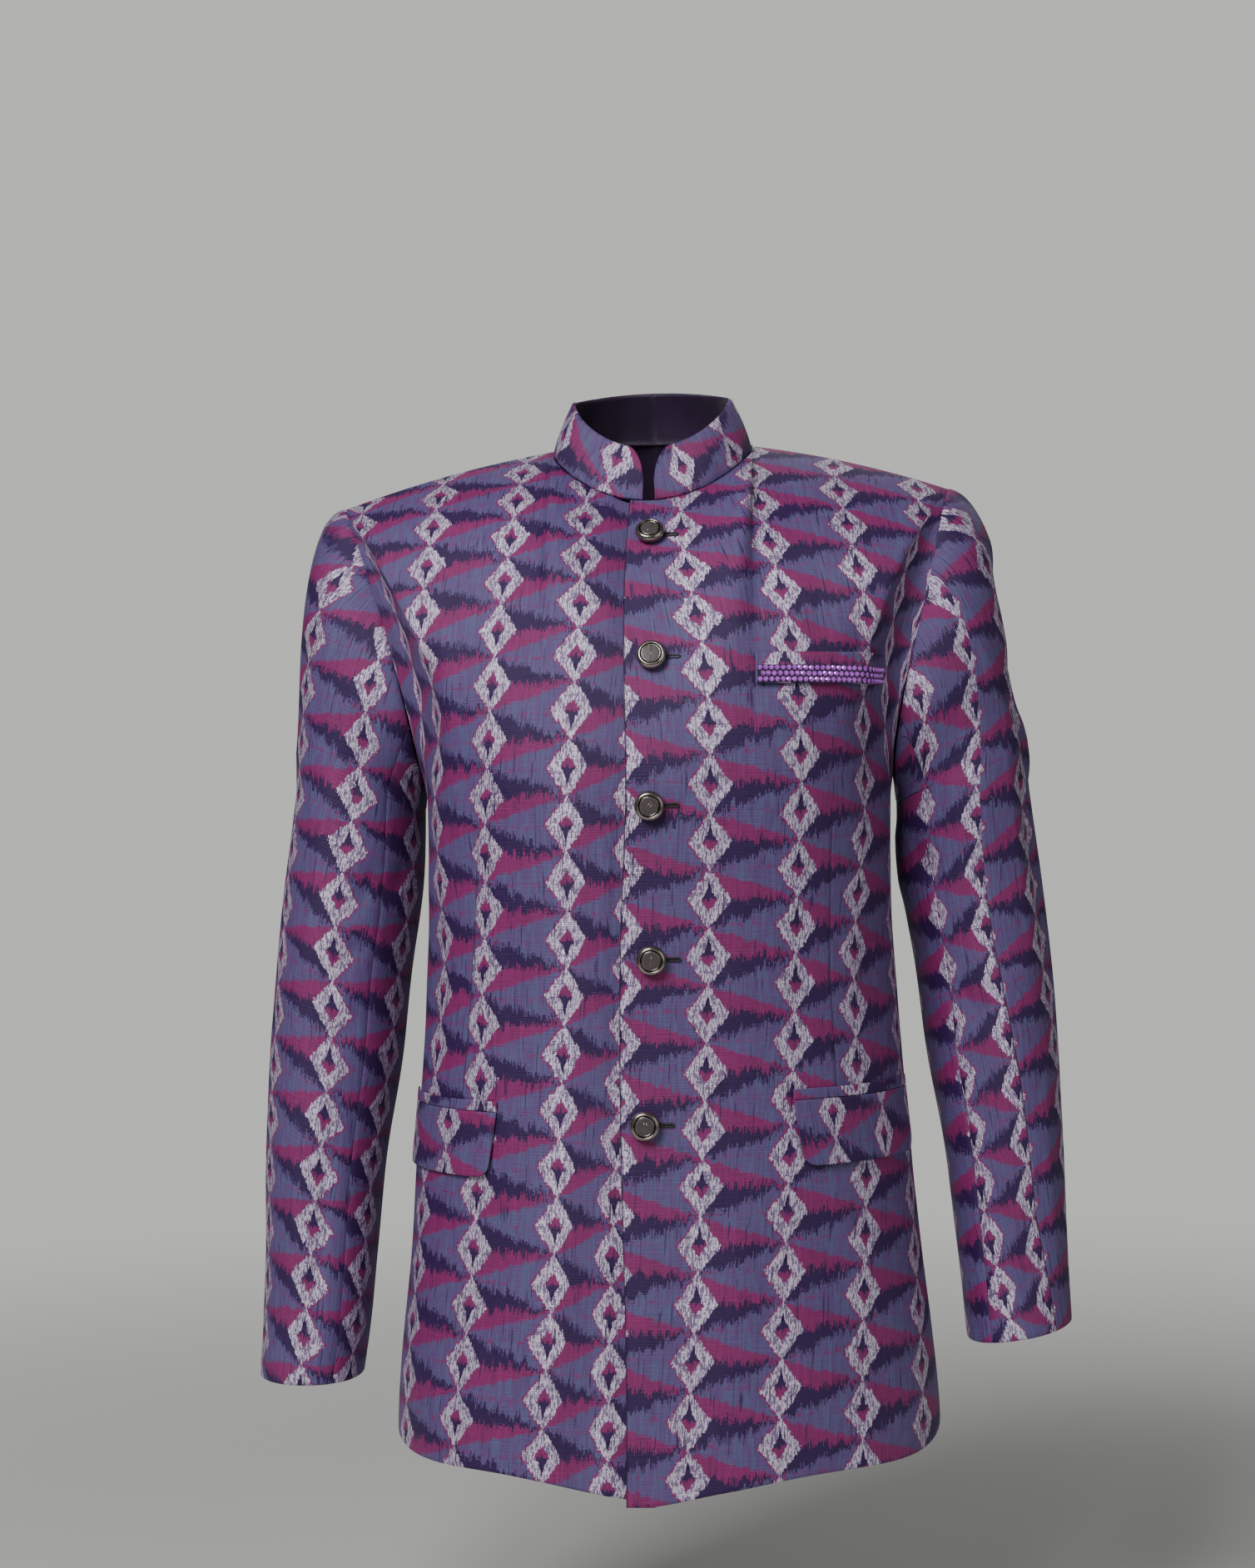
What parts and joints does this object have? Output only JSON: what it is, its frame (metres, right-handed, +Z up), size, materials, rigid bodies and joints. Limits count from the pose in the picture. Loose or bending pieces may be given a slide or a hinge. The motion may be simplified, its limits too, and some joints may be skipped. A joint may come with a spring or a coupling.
{
  "type": "bandhgala jacket",
  "caption": "Worn closed-neck jacket with set-in sleeves, stand collar, buttoned front, flap pockets and a jewelled chest welt, in warp-patterned cloth.",
  "frame": {"origin": "midway between the two points where the shoulder seams meet the neck, at the wearer's neck", "axes": "+Z up along the wearer, the front faces -Y, the wearer's left is +X"},
  "size_m": [0.6, 0.2719, 0.7991],
  "materials": {
    "ikat_cloth": "plain-weave silk and cotton, tied and dyed in the warp",
    "purple_stones": "faceted, glossy",
    "button_metal": "dark polished metal",
    "button_inset": "brushed, satin"
  },
  "bodies": {
    "root": {"front_left": "ikat_cloth", "front_right": "ikat_cloth", "back_left": "ikat_cloth", "back_right": "ikat_cloth", "topsleeve_left": "ikat_cloth", "topsleeve_right": "ikat_cloth", "undersleeve_left": "ikat_cloth", "undersleeve_right": "ikat_cloth", "collar": "ikat_cloth", "chest_welt": "ikat_cloth", "stone_band": "purple_stones", "jet_left": "ikat_cloth", "jet_right": "ikat_cloth", "flap_left": "ikat_cloth", "flap_right": "ikat_cloth", "button_1_rim": "button_metal", "button_1_face": "button_inset", "button_2_rim": "button_metal", "button_2_face": "button_inset", "button_3_rim": "button_metal", "button_3_face": "button_inset", "button_4_rim": "button_metal", "button_4_face": "button_inset", "button_5_rim": "button_metal", "button_5_face": "button_inset"}
  },
  "joints": []
}
